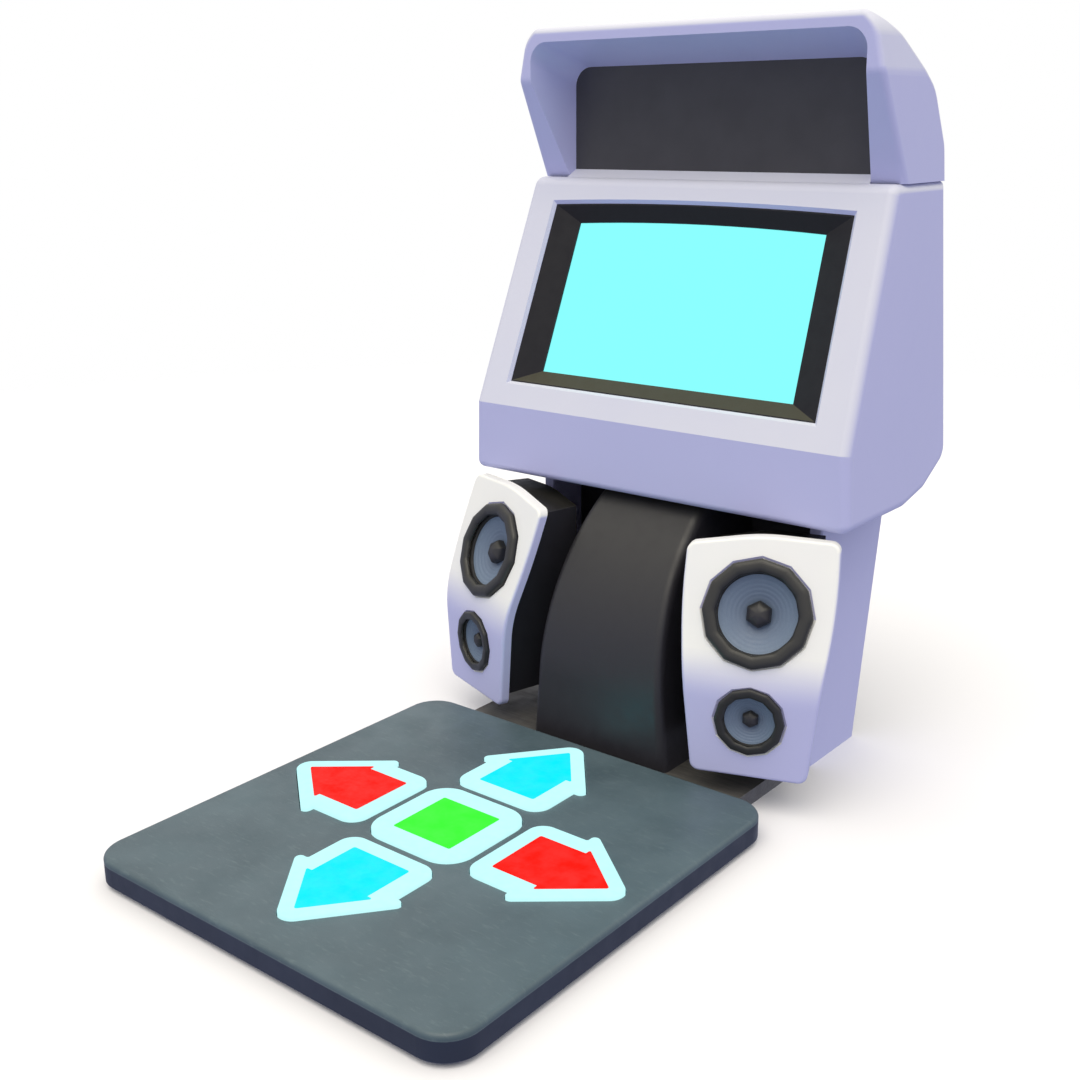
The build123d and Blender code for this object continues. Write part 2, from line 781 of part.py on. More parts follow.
# ---- Exhaust fan on the inside of the back panel
def make_fan():
    """The fan's frame with its arms and spindle, and the bladed rotor."""
    place = back_plane.location * Pos(0, fan_v, -back_thickness - fan_depth / 2)
    rear = -fan_depth / 2
    span = 2 * fan_bore + 4
    frame = Box(fan_size, fan_size, fan_depth) - Cylinder(fan_bore, 2 * fan_depth)
    frame += Pos(0, 0, rear + fan_arm_depth / 2) * Box(span, fan_arm_width, fan_arm_depth)
    frame += Pos(0, 0, rear + fan_arm_depth / 2) * Box(fan_arm_width, span, fan_arm_depth)
    frame += Pos(0, 0, rear + fan_arm_depth / 2) * Cylinder(fan_hub, fan_arm_depth)
    frame += Pos(0, 0, -fan_rotor_gap) * Cylinder(fan_pin, fan_depth - 2 * fan_rotor_gap)
    add("fan_frame", place * frame)

    low = rear + fan_arm_depth + fan_rotor_gap
    height = fan_depth - fan_arm_depth - fan_rotor_gap - fan_front_gap
    middle = low + height / 2
    rotor = Pos(0, 0, middle) * Cylinder(fan_hub, height)
    blade_reach = fan_bore - fan_hub / 2
    blade = Box(blade_reach, fan_blade_width, fan_blade_sheet)
    blade = Pos(fan_hub / 2 + blade_reach / 2, 0, middle) * Rot(fan_blade_pitch, 0, 0) * blade
    for count in range(fan_blades):
        rotor += Rot(0, 0, 360 * count / fan_blades) * blade
    rotor &= Pos(0, 0, middle) * Cylinder(fan_bore - fan_tip_gap, height)
    add("fan_rotor", place * (rotor - Cylinder(fan_pin + pivot_play, 2 * fan_depth)))


# ---- Speakers
speaker_place = Pos(speaker_x, speaker_y, 0) * Rot(0, 0, speaker_yaw)
speaker_tilt = math.radians(speaker_lean)


def baffle_y(z):
    """How far the leaning face has gone back at a height."""
    return max(0, z - speaker_bend_z) * math.tan(speaker_tilt)


def speaker_slab(front, back):
    """A slab that follows the baffle's bent face between two depths."""
    top = baffle_outline[0][1] + 2 * baffle_round
    low = baffle_outline[3][1] - 2 * baffle_round
    points = (
        (front, low),
        (front, speaker_bend_z),
        (front + baffle_y(top), top),
        (back + baffle_y(top), top),
        (back, speaker_bend_z),
        (back, low),
    )
    return side_prism(points, (0, speaker_bend_radius, 0, 0, speaker_bend_radius - back, 0))


def driver_plane(z, tilt):
    """A driver's plane in the baffle's face: Z points out of the cone."""
    return Plane(origin=(0, baffle_y(z), z), x_dir=(1, 0, 0), z_dir=(0, -math.cos(tilt), math.sin(tilt)))


drivers = {
    "woofer": (woofer_radius, driver_plane(woofer_z, speaker_tilt)),
    "mid": (mid_radius, driver_plane(mid_z, 0)),
}


def recess_dish(r, plane):
    """The many-sided dish in the baffle round a trim ring, wider towards the front."""
    foot = r + recess_gap
    floor = Pos(0, 0, -recess_depth) * RegularPolygon(foot, ring_sides)
    mouth = Pos(0, 0, recess_depth) * RegularPolygon(foot + 2 * recess_slope, ring_sides)
    return plane.location * loft([floor, mouth])


def ring_solid(r, plane):
    """The many-sided trim ring: a low crowned band that stands on the floor of the baffle's dish."""
    leg = flange_share * r + fit_gap
    profile = [
        (1.1 * r, -recess_depth),
        (1.1 * r, 0),
        (0.96 * r, 0.095 * r),
        (0.88 * r, ring_crown * r),
        (0.80 * r, 0.085 * r),
        (ring_bore * r, flange_height + 1.5),
        (ring_bore * r, flange_height),
        (leg, flange_height),
        (leg, -recess_depth),
    ]
    prism = extrude(RegularPolygon(r, ring_sides), amount=r, both=True)
    return plane.location * (turned(profile) & prism)


def basket_solid(r, plane):
    """The driver's frame with its magnet, turned as one piece, with the ring-shaped gap for the coil."""
    depth = driver_depth * r
    end = depth + magnet_depth * r
    slot = depth + 0.7 * magnet_depth * r
    profile = [
        (flange_share * r, flange_height),
        (flange_share * r, -recess_depth),
        (basket_share * r, -recess_depth),
        (basket_share * r, -0.2 * r),
        (magnet_radius * r, -depth),
        (magnet_radius * r, -end),
        (0, -end),
        (0, -depth),
        ((coil_inner - 0.01) * r, -depth),
        ((coil_inner - 0.01) * r, -slot),
        ((coil_outer + 0.01) * r, -slot),
        ((coil_outer + 0.01) * r, -depth),
        (0.46 * r, -depth),
        (bore_share * r, -0.2 * r),
        (bore_share * r, flange_height),
    ]
    return plane.location * turned(profile)


def cone_solid(r, plane):
    """The moving cone, turned as one piece: its rim, the paper, the coil's tube and the dust cap."""
    edge = bore_share * r - cone_gap
    neck = (driver_depth - 0.07) * r
    coil_end = (driver_depth + 0.4 * magnet_depth) * r
    edge_r, edge_z = cone_edge
    slope = (edge_z * r + neck) / ((edge_r - coil_inner) * r)
    cap_foot = (cap_radius - coil_inner) * r * slope - neck
    profile = [
        (edge, cone_rim * r),
        (edge, cone_rim * r - 2 * cone_sheet),
        (edge_r * r, edge_z * r - cone_sheet),
        (coil_outer * r, -neck - cone_sheet),
        (coil_outer * r, -coil_end),
        (coil_inner * r, -coil_end),
        (coil_inner * r, -neck),
        (0, -neck),
        (0, cap_top * r),
        (0.1 * r, (cap_top - 0.015) * r),
        (0.19 * r, (cap_top - 0.06) * r),
        (cap_radius * r, (cap_top - 0.14) * r),
        (cap_radius * r, cap_foot),
        (edge_r * r, edge_z * r),
        ((edge_r + 0.05) * r, cone_rim * r),
    ]
    return plane.location * turned(profile)


def enclosure_solid(inset):
    """The speaker box as a tapering solid behind the baffle, or its inside when inset."""
    view = offset(outline(baffle_outline, baffle_rounds), -box_inset - inset)
    far = Plane.XZ.offset(inset - baffle_thickness - box_depth) * scale(view, by=(box_taper, 1, 1))
    front = baffle_thickness
    corners = (
        (front, 0),
        (front, speaker_bend_z),
        (front + baffle_y(REACH), REACH),
        (2 * REACH, REACH),
        (2 * REACH, 0),
    )
    return loft([Plane.XZ * view, far]) & side_prism(corners, (0, speaker_bend_radius - front, 0, 0, 0))


def make_speakers():
    """Both speakers: bent baffles, trim rings, driver frames, cones, boxes and the arms that carry them."""
    baffle = speaker_slab(0, baffle_thickness) & front_prism(baffle_outline, baffle_rounds)
    front_rim = [e for f in baffle.faces() if f.normal_at().Y < -0.5 for e in f.edges()]
    silhouette = [e for e in front_rim if sum(e.is_same(other) for other in front_rim) == 1]
    baffle = fillet(silhouette, baffle_round)
    rings = []
    baskets = []
    for name, (r, plane) in drivers.items():
        baffle -= plane.location * Cylinder(hole_share * r, 6 * baffle_thickness)
        baffle -= recess_dish(r, plane)
        rings.append(speaker_place * ring_solid(r, plane))
        baskets.append(speaker_place * basket_solid(r, plane))
        cone = speaker_place * cone_solid(r, plane)
        add(f"right_{name}_cone", cone)
        add(f"left_{name}_cone", mirror(cone, about=Plane.YZ))
    baffle = speaker_place * baffle
    add("right_speaker_baffle", baffle)
    add("left_speaker_baffle", mirror(baffle, about=Plane.YZ))
    add("speaker_rings", *rings, *[mirror(ring, about=Plane.YZ) for ring in rings])
    add("speaker_drivers", *baskets, *[mirror(basket, about=Plane.YZ) for basket in baskets])

    box = speaker_place * (enclosure_solid(0) - enclosure_solid(box_wall))
    add("right_speaker_box", box)
    add("left_speaker_box", mirror(box, about=Plane.YZ))
    # The box's rear middle lies inward of the baffle's middle, because the speaker is turned outwards.
    arm_x = speaker_x - math.sin(math.radians(speaker_yaw)) * (baffle_thickness + box_depth)
    arm_low = (arm_x - arm_width / 2, arm_front, arm_low_z)
    arm = block(arm_low, (arm_x + arm_width / 2, liner_y, arm_low_z + arm_height))
    arm = (arm - speaker_place * enclosure_solid(0)).solids().sort_by(Axis.Y)[-1]
    add("speaker_brackets", arm, mirror(arm, about=Plane.YZ))


# ---- Screws, inlet, switch and electronics


def make_screws():
    """The screws of the column's back sheet and of the head's back panel."""
    shank = Pos(0, 0, -screw_length / 2) * Cylinder(screw_radius, screw_length)
    head = Pos(0, 0, screw_head_height / 2) * Cylinder(screw_head_radius, screw_head_height)
    head = fillet(head.faces().sort_by(Axis.Z)[-1].edges(), screw_head_height / 2)
    socket = Pos(0, 0, screw_head_height) * extrude(RegularPolygon(screw_socket, 6), -screw_socket)
    screw = shank + head - socket
    solids = []
    for plane, half, rows in (
        (column_plane, column_screw_x, column_screw_rows), (back_plane, head_screw_x, head_screw_rows)
    ):
        solids += [plane.location * Pos(x, v) * screw for x in (-half, half) for v in rows]
    add("cabinet_screws", *solids)


def make_inlet():
    """The mains inlet with its three blades, and the rocker switch below it."""
    half = inlet_width / 2
    body = block((fit_gap - half, fit_gap, -inlet_depth), (half - fit_gap, inlet_height - fit_gap, 0))
    flange_low = (-half - inlet_lap, -inlet_lap, 0)
    flange = block(flange_low, (half + inlet_lap, inlet_height + inlet_lap, inlet_flange))
    socket_w, socket_h = socket_size
    socket_low = (-socket_w / 2, socket_foot, socket_floor - inlet_depth)
    socket = block(socket_low, (socket_w / 2, socket_foot + socket_h, 2 * inlet_flange))
    well_low = (-rocker_width / 2, rocker_v - rocker_height / 2, -rocker_well)
    well = block(well_low, (rocker_width / 2, rocker_v + rocker_height / 2, 2 * inlet_flange))
    at_axle = Pos(0, rocker_v, -rocker_axle_depth)
    axle_length = rocker_width + 2 * rocker_axle_end
    bearing = at_axle * Cylinder(rocker_axle_radius + pivot_play, axle_length + 1, rotation=(0, 90, 0))
    inlet = body + flange - socket - well - bearing
    for x, v in contact_places:
        spot = Pos(x, socket_foot + socket_h / 2 + v, contact_foot - inlet_depth)
        inlet += spot * Box(*contact_size)
    place = column_plane.location * Pos(-inlet_x, inlet_v)
    add("power_inlet", place * inlet)

    half_width = rocker_width / 2 - rocker_side_room
    half_height = rocker_height / 2 - rocker_tilt_room
    proud = inlet_flange + 1
    dip = half_height * math.tan(math.radians(rocker_slope))
    points = (
        (-half_height, proud),
        (0, proud - dip),
        (half_height, proud),
        (half_height - rocker_axle_radius, -rocker_axle_depth),
        (0, -rocker_axle_depth - 2 * rocker_axle_radius),
        (rocker_axle_radius - half_height, -rocker_axle_depth),
    )
    rocker = extrude(Plane.YZ * make_face(Polyline(*points, close=True)), amount=half_width, both=True)
    axle = at_axle * Cylinder(rocker_axle_radius, axle_length, rotation=(0, 90, 0))
    add("power_switch", place * (Pos(0, rocker_v) * rocker + axle))


def standing_block(size, middle_y, z):
    """A box of a width, depth and height that stands at a height in the middle of the machine."""
    width, depth, height = size
    return block((-width / 2, middle_y - depth / 2, z), (width / 2, middle_y + depth / 2, z + height))


def make_electronics():
    """The computer on the plinth, the finned amplifier on the head's floor and the power supply."""
    computer = standing_block(computer_size, computer_y, plinth_top)
    add("game_computer", chamfer(computer.edges(), panel_bevel))
    foot = head_floor_z + floor_wall
    amplifier = standing_block(amplifier_size, amplifier_y, foot)
    reach = amplifier_size[0] / 2 - fin_margin
    for x in spread(-reach, reach, fin_count):
        fin_size = (fin_sheet, amplifier_size[1], fin_height)
        amplifier += Pos(x, 0, 0) * standing_block(fin_size, amplifier_y, foot + amplifier_size[2])
    add("amplifier", amplifier)
    supply_y = liner_y + liner_thickness + supply_size[1] / 2
    add("power_supply", standing_block(supply_size, supply_y, supply_z))


make_step_panels()
make_stage()
make_column()
make_pedestal()
make_housing()
make_screen()
make_hood()
make_door()
make_fan()
make_speakers()
make_screws()
make_inlet()
make_electronics()

footprint = Compound(children=[solid for shape in parts.values() for solid in shape.solids()]).bounding_box()
to_middle = Pos(0, -footprint.center().Y, 0)
os.makedirs("parts", exist_ok=True)
for name, shape in parts.items():
    export_step(to_middle * shape, f"parts/{name}.step")
print("moved back by", -footprint.center().Y)
print(len(parts), "parts written")
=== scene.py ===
"""Looks for the dance rhythm machine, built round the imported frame. Metres, the frame's own axes."""
import json
import math

import bmesh
import bpy
from mathutils import Matrix, Vector


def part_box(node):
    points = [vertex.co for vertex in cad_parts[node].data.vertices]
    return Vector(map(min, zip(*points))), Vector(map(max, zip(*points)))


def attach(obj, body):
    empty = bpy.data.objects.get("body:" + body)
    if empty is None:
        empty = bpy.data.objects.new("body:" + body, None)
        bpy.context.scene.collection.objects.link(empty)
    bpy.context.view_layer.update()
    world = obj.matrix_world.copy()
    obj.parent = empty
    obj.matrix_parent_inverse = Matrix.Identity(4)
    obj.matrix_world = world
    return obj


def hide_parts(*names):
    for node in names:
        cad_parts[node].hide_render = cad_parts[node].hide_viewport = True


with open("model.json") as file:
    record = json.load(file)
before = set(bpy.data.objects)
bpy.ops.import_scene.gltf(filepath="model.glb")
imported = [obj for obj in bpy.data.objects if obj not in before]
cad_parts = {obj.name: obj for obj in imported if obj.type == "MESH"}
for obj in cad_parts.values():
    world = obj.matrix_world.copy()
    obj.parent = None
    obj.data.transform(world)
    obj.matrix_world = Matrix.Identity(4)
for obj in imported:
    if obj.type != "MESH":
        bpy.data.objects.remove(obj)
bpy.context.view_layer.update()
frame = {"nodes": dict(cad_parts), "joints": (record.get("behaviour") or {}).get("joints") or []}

nodes = frame["nodes"]
joints = {joint["name"]: joint for joint in frame["joints"]}
MM = 0.001

# ---- Camera, light and floor: angles in degrees, lens and sensor in millimetres, sky colours linear
CAMERA_PLACE = (2.1711, -2.6993, 1.7886)
CAMERA_AZIMUTH = 39.085
CAMERA_PITCH = 16.871
CAMERA_ROLL = -0.461
CAMERA_LENS = 46.02
CAMERA_SENSOR = 36
HORIZON_LIGHT = (0.40, 0.42, 0.55, 1)
ZENITH_LIGHT = (1.25, 1.22, 1.12, 1)
FLOOR_RADIUS = 14
FLOOR_FADE = (3.2, 7.5)

# ---- Speaker shapes, as shares of a driver's radius unless a unit is named
CONE_RIM = 0.83
CONE_RIM_GAP = 0.3 * MM
CONE_FRONT_DEPTH = 0.04
RING_SIDES = 12
RING_INNER = 0.745
RING_LEG = 0.972
RING_HEIGHT = 0.11
RING_SEAT = 4.6 * MM
RING_FLATNESS = 2.6
RING_FULLNESS = 2.2
RECESS_DEPTH = 5 * MM
CAP_SIDES = 6
CAP_RADIUS = 0.25
CAP_FOOT = -0.19
CAP_HEIGHT = 0.15
CAP_SKIRT = 0.08
CORNER_CRISPNESS = 0.985
CONE_OUTER = 0.73
CONE_NECK = 0.19
CONE_TOP = -0.09
CONE_BOTTOM = -0.28
CONE_FLARE = 1.15
CONE_SHEET = 1.5 * MM
CONE_RIBS = 7
RIB_HEIGHT = 0.35 * MM
RIB_GROWTH = 3
ROLL_TUCK = 0.012
ROLL_RISE = 0.9
ROLL_SHEET = 1.2 * MM

# ---- How finely turned shapes are divided, and the turn in degrees past which an edge stays sharp
ROUND_SEGMENTS = 96
RING_SIDE_SEGMENTS = 8
CAP_SIDE_SEGMENTS = 12
RING_STEPS = 18
CONE_STEPS = 48
CAP_STEPS = 14
ROLL_STEPS = 12
SHARP_ANGLE = 32
ON_AXIS = 1e-7
MERGE_DISTANCE = 1e-6

# ---- Wire guard over the exhaust fan
GUARD_RINGS = 5
GUARD_PITCH = 13 * MM
GUARD_SPOKES = 3
GUARD_WIRE = 1.1 * MM
GUARD_STAND_OFF = 33.5 * MM
GUARD_SPOKE_DROP = 1.6
GUARD_RING_STEPS = 64
GUARD_WIRE_STEPS = 8

# ---- Lit screen: the pitch of its drawn columns, and a wave texture's scale times its pitch
SCREEN_COLUMN = 2.4 * MM
WAVE_SPAN = 0.314

# ---- Edge wear: the size of its patches, and how alike two normals are where it starts and is full
WEAR_PATCH = 12 * MM
WEAR_START = 0.995
WEAR_FULL = 0.86


# ---- Node helpers
def linear(code):
    """An sRGB hex colour as the linear one that a shader takes."""
    values = [int(code[i:i + 2], 16) / 255 for i in (0, 2, 4)]
    return (*[v / 12.92 if v <= 0.04045 else ((v + 0.055) / 1.055) ** 2.4 for v in values], 1)


def add_node(tree, kind, settings=None, links=None):
    """Adds a node, sets its inputs or properties, and links sockets to its inputs."""
    node = tree.nodes.new(kind)
    for name, value in (settings or {}).items():
        if hasattr(node, str(name)):
            setattr(node, name, value)
        else:
            node.inputs[name].default_value = value
    for name, socket in (links or {}).items():
        tree.links.new(socket, node.inputs[name])
    return node


def start_material(name):
    """A new material and its empty node tree."""
    material = bpy.data.materials.new(name)
    material.use_nodes = True
    material.node_tree.nodes.clear()
    return material, material.node_tree


def end_material(tree, settings, links):
    """The surface shader and the output, which every material ends with."""
    shader = add_node(tree, "ShaderNodeBsdfPrincipled", settings, links)
    add_node(tree, "ShaderNodeOutputMaterial", links={"Surface": shader.outputs["BSDF"]})


def place(tree):
    """Object coordinates, in metres."""
    return add_node(tree, "ShaderNodeTexCoord").outputs["Object"]


def speckle(tree, size, low, high, detail=3, start=0.35, end=0.65, stretch=None):
    """Soft noise with features of a size in metres, spread between two values."""
    where = place(tree)
    if stretch:
        where = add_node(tree, "ShaderNodeMapping", {"Scale": stretch}, {"Vector": where}).outputs[0]
    noise = add_node(tree, "ShaderNodeTexNoise", {"Scale": 1 / size, "Detail": detail}, {"Vector": where})
    spread = add_node(
        tree, "ShaderNodeMapRange", {"From Min": start, "From Max": end, "To Min": low, "To Max": high},
        {"Value": noise.outputs["Fac"]},
    )
    return spread.outputs["Result"]


def blend_colour(tree, share, first, second):
    """Two colours, each a hex code or a socket, mixed by a share."""
    mix = add_node(tree, "ShaderNodeMix", {"data_type": "RGBA"}, {0: share})
    for index, colour in ((6, first), (7, second)):
        if isinstance(colour, str):
            mix.inputs[index].default_value = linear(colour)
        else:
            tree.links.new(colour, mix.inputs[index])
    return mix.outputs[2]


def edge_wear(tree, width, amount):
    """How far each point is worn: strongest on the outer few millimetres of an edge, and patchy."""
    soft = add_node(tree, "ShaderNodeBevel", {"samples": 4, "Radius": width})
    facing = add_node(tree, "ShaderNodeNewGeometry").outputs["Normal"]
    alike = add_node(
        tree, "ShaderNodeVectorMath", {"operation": "DOT_PRODUCT"}, {0: soft.outputs[0], 1: facing}
    )
    edge = add_node(
        tree, "ShaderNodeMapRange",
        {"From Min": WEAR_START, "From Max": WEAR_FULL, "To Min": 0, "To Max": amount},
        {"Value": alike.outputs["Value"]},
    )
    patches = speckle(tree, WEAR_PATCH, 0.25, 1)
    worn = add_node(tree, "ShaderNodeMath", {"operation": "MULTIPLY"}, {0: edge.outputs[0], 1: patches})
    return worn.outputs[0]


def facing_up(tree, settings):
    """How far each point faces up, from 0 to 1, by a map range with the given settings."""
    normal = add_node(tree, "ShaderNodeTexCoord").outputs["Normal"]
    height = add_node(tree, "ShaderNodeSeparateXYZ", links={0: normal}).outputs["Z"]
    return add_node(tree, "ShaderNodeMapRange", settings, {"Value": height}).outputs["Result"]


def bump(tree, height, distance):
    """The normal of a relief that is a distance high, in metres."""
    return add_node(tree, "ShaderNodeBump", {"Distance": distance}, {"Height": height}).outputs["Normal"]


# ---- Finishes
def abs_with_painted_top_light(name="lavender_abs_painted_top_light", pale="dbdce7"):
    """Vacuum-formed lavender ABS: a soft sheen over a fine grain, with painted top light that makes it paler
    where it faces up.
    """
    material, tree = start_material(name)
    # Painted top light: faces that turn up take the pale colour, as if lit from above.
    upward = facing_up(tree, {"From Min": 0.0, "From Max": 0.40, "interpolation_type": "SMOOTHSTEP"})
    shell = blend_colour(tree, upward, "c5c6ee", pale)
    cloudy = blend_colour(tree, speckle(tree, 350 * MM, 0, 0.10), shell, "b9bce4")
    colour = blend_colour(tree, edge_wear(tree, 4 * MM, 0.12), cloudy, "f1f1f5")
    # The grain is about 0.4 mm on such a shell, drawn at 1.6 mm so that it shows.
    grain = speckle(tree, 1.6 * MM, 0, 1, detail=2)
    end_material(tree, {"IOR": 1.53}, {
        "Base Color": colour,
        "Roughness": speckle(tree, 60 * MM, 0.34, 0.46),
        "Normal": bump(tree, grain, 0.08 * MM),
    })
    return material


def charcoal_abs(name="charcoal_abs", colour="2b2a30", bloom="22211e", rough=0.42, start=0.1, gloss=0.5):
    """Textured charcoal ABS: cool and dark, with painted top light that makes it a little warmer where it
    faces up past a slope.
    """
    material, tree = start_material(name)
    # The bloom colour is painted top light: it tints faces that turn up past the start slope.
    upward = facing_up(tree, {"From Min": start, "From Max": 0.9})
    colour_with_top_light = blend_colour(tree, upward, colour, bloom)
    worn = blend_colour(tree, edge_wear(tree, 3 * MM, 0.4), colour_with_top_light, "6a686a")
    # Moulded spark texture, about 0.3 mm in the tool, drawn at 1.4 mm.
    grain = speckle(tree, 1.4 * MM, 0, 1, detail=2)
    end_material(tree, {"IOR": 1.53, "Specular IOR Level": gloss}, {
        "Base Color": worn,
        "Roughness": speckle(tree, 40 * MM, rough - 0.05, rough + 0.07),
        "Normal": bump(tree, grain, 0.10 * MM),
    })
    return material


def slate_deck():
    """Slate polyurethane coat on the stage's board: satin, with anti-slip grit and scuffs from shoes."""
    material, tree = start_material("slate_polyurethane")
    cloudy = blend_colour(tree, speckle(tree, 220 * MM, 0, 1, detail=5), "46575f", "52646c")
    scuffs = speckle(tree, 30 * MM, 0, 0.5, detail=8, start=0.56, end=0.75, stretch=(1, 4, 1))
    scuffed = blend_colour(tree, scuffs, cloudy, "627378")
    colour = blend_colour(tree, edge_wear(tree, 4 * MM, 0.5), scuffed, "7d8a86")
    # Grit of about 0.5 mm, drawn at 2 mm.
    grit = speckle(tree, 2 * MM, 0, 1, detail=2)
    end_material(tree, {"IOR": 1.5}, {
        "Base Color": colour,
        "Roughness": speckle(tree, 90 * MM, 0.33, 0.5, detail=6),
        "Normal": bump(tree, grit, 0.12 * MM),
    })
    return material


def navy_powder():
    """Navy powder coat on folded steel: satin with a light orange peel."""
    material, tree = start_material("navy_powder_coat")
    cloudy = blend_colour(tree, speckle(tree, 300 * MM, 0, 1), "1d2538", "222b40")
    colour = blend_colour(tree, edge_wear(tree, 3 * MM, 0.5), cloudy, "46546a")
    # Orange peel of about 2.4 mm.
    peel = speckle(tree, 2.4 * MM, 0, 1, detail=1)
    end_material(tree, {"IOR": 1.5}, {
        "Base Color": colour,
        "Roughness": speckle(tree, 50 * MM, 0.38, 0.5),
        "Normal": bump(tree, peel, 0.06 * MM),
    })
    return material


def lit_plastic(name, colour, strength):
    """Frosted polycarbonate lit from below: even light with the faint mottle of its diffuser."""
    material, tree = start_material(name)
    glow = blend_colour(tree, speckle(tree, 50 * MM, 0.0, 0.02), colour, "ffffff")
    dimmed = blend_colour(tree, speckle(tree, 20 * MM, 0.90, 0.94), colour, "080a0c")
    scratches = speckle(tree, 4 * MM, 0, 1, detail=6, stretch=(1, 9, 1))
    end_material(tree, {"IOR": 1.585, "Emission Strength": strength, "Specular IOR Level": 0.04}, {
        "Base Color": dimmed,
        "Emission Color": glow,
        "Roughness": speckle(tree, 15 * MM, 0.42, 0.62),
        "Normal": bump(tree, scratches, 0.03 * MM),
    })
    return material


def screen_glass():
    """Lit monitor behind glass: an even field with faint upright stripes, one for each column of dots."""
    material, tree = start_material("lit_monitor_glass")
    # Columns of dots are about 0.6 mm apart on such a monitor, drawn 2.4 mm apart.
    columns = add_node(
        tree, "ShaderNodeTexWave",
        {"wave_type": "BANDS", "bands_direction": "X", "Scale": WAVE_SPAN / SCREEN_COLUMN},
        {"Vector": place(tree)},
    )
    faint = add_node(
        tree, "ShaderNodeMapRange", {"To Min": 0.0, "To Max": 0.035}, {"Value": columns.outputs["Fac"]}
    )
    glow = blend_colour(tree, faint.outputs[0], "86ffff", "70e4ea")
    end_material(
        tree,
        {"IOR": 1.52, "Emission Strength": 0.98, "Base Color": linear("0c1c1e"), "Specular IOR Level": 0.3},
        {"Emission Color": glow, "Roughness": speckle(tree, 80 * MM, 0.1, 0.2)},
    )
    return material


def smoked_acrylic():
    """Smoked cast acrylic of the blank marquee: deep, even and glossy, with faint wiping haze."""
    material, tree = start_material("smoked_acrylic")
    colour = blend_colour(tree, speckle(tree, 120 * MM, 0, 1, detail=4), "3e3d40", "434245")
    end_material(tree, {"IOR": 1.49, "Specular IOR Level": 0.4}, {
        "Base Color": colour, "Roughness": speckle(tree, 50 * MM, 0.28, 0.42, detail=6),
    })
    return material


def painted_board():
    """Black emulsion on medium-density board: matt, with roller stipple and paler cut edges."""
    material, tree = start_material("black_painted_board")
    colour = blend_colour(tree, speckle(tree, 80 * MM, 0, 1, detail=5), "232226", "2b2a2e")
    worn = blend_colour(tree, edge_wear(tree, 3 * MM, 0.5), colour, "5d564c")
    # Roller stipple of about 3 mm.
    stipple = speckle(tree, 3 * MM, 0, 1, detail=2)
    end_material(tree, {"IOR": 1.48}, {
        "Base Color": worn,
        "Roughness": speckle(tree, 30 * MM, 0.55, 0.7),
        "Normal": bump(tree, stipple, 0.15 * MM),
    })
    return material


def stained_plywood():
    """Brown-grey stained plywood of the plinth: long soft grain under a thin satin lacquer."""
    material, tree = start_material("stained_plywood")
    # Grain lines 3 to 6 mm apart, running across the plinth.
    grain = speckle(tree, 6 * MM, 0, 1, detail=6, stretch=(0.06, 1, 1))
    wood = blend_colour(tree, grain, "4d4c4a", "615f5b")
    colour = blend_colour(tree, speckle(tree, 200 * MM, 0, 0.4), wood, "454445")
    worn = blend_colour(tree, edge_wear(tree, 3 * MM, 0.5), colour, "86807a")
    end_material(tree, {"IOR": 1.5}, {
        "Base Color": worn,
        "Roughness": speckle(tree, 40 * MM, 0.42, 0.58),
        "Normal": bump(tree, grain, 0.1 * MM),
    })
    return material


def moulded_rubber():
    """Black moulded rubber: matt, slightly dusty."""
    material, tree = start_material("moulded_rubber")
    colour = blend_colour(tree, speckle(tree, 20 * MM, 0, 1, detail=5), "1b1b1c", "282829")
    grain = speckle(tree, 1.2 * MM, 0, 1, detail=2)
    end_material(tree, {"IOR": 1.52}, {
        "Base Color": colour,
        "Roughness": speckle(tree, 10 * MM, 0.6, 0.8),
        "Normal": bump(tree, grain, 0.1 * MM),
    })
    return material


def zinc_plate():
    """Bright zinc plate on steel: grey with a faint straw and blue passivation bloom."""
    material, tree = start_material("zinc_plated_steel")
    colour = blend_colour(tree, speckle(tree, 15 * MM, 0, 1, detail=4), "a9abad", "c3bfae")
    end_material(tree, {"Metallic": 1.0}, {
        "Base Color": colour,
        "Roughness": speckle(tree, 6 * MM, 0.28, 0.5, detail=5),
        "Normal": bump(tree, speckle(tree, 1.5 * MM, 0, 1), 0.03 * MM),
    })
    return material


def cast_aluminium():
    """Sand-cast aluminium of the heat sink: pale grey and granular."""
    material, tree = start_material("cast_aluminium")
    colour = blend_colour(tree, speckle(tree, 10 * MM, 0, 1, detail=5), "8d8f92", "a3a5a8")
    end_material(tree, {"Metallic": 1.0}, {
        "Base Color": colour,
        "Roughness": speckle(tree, 4 * MM, 0.45, 0.65),
        "Normal": bump(tree, speckle(tree, 1.2 * MM, 0, 1), 0.12 * MM),
    })
    return material


def pressed_steel_case():
    """Satin black enamel on pressed steel boxes inside the cabinet."""
    material, tree = start_material("enamelled_steel_case")
    colour = blend_colour(tree, speckle(tree, 60 * MM, 0, 1), "2a2c30", "34363a")
    worn = blend_colour(tree, edge_wear(tree, 2 * MM, 0.6), colour, "8b8d90")
    end_material(tree, {"IOR": 1.5}, {
        "Base Color": worn,
        "Roughness": speckle(tree, 30 * MM, 0.4, 0.55),
        "Normal": bump(tree, speckle(tree, 2 * MM, 0, 1), 0.06 * MM),
    })
    return material


def circuit_board():
    """Green solder mask over glass fibre, with a fine woven relief."""
    material, tree = start_material("solder_mask")
    colour = blend_colour(tree, speckle(tree, 8 * MM, 0, 1, detail=6), "12412a", "1d5a39")
    end_material(tree, {"IOR": 1.5}, {
        "Base Color": colour,
        "Roughness": speckle(tree, 10 * MM, 0.3, 0.45),
        "Normal": bump(tree, speckle(tree, 1 * MM, 0, 1), 0.05 * MM),
    })
    return material


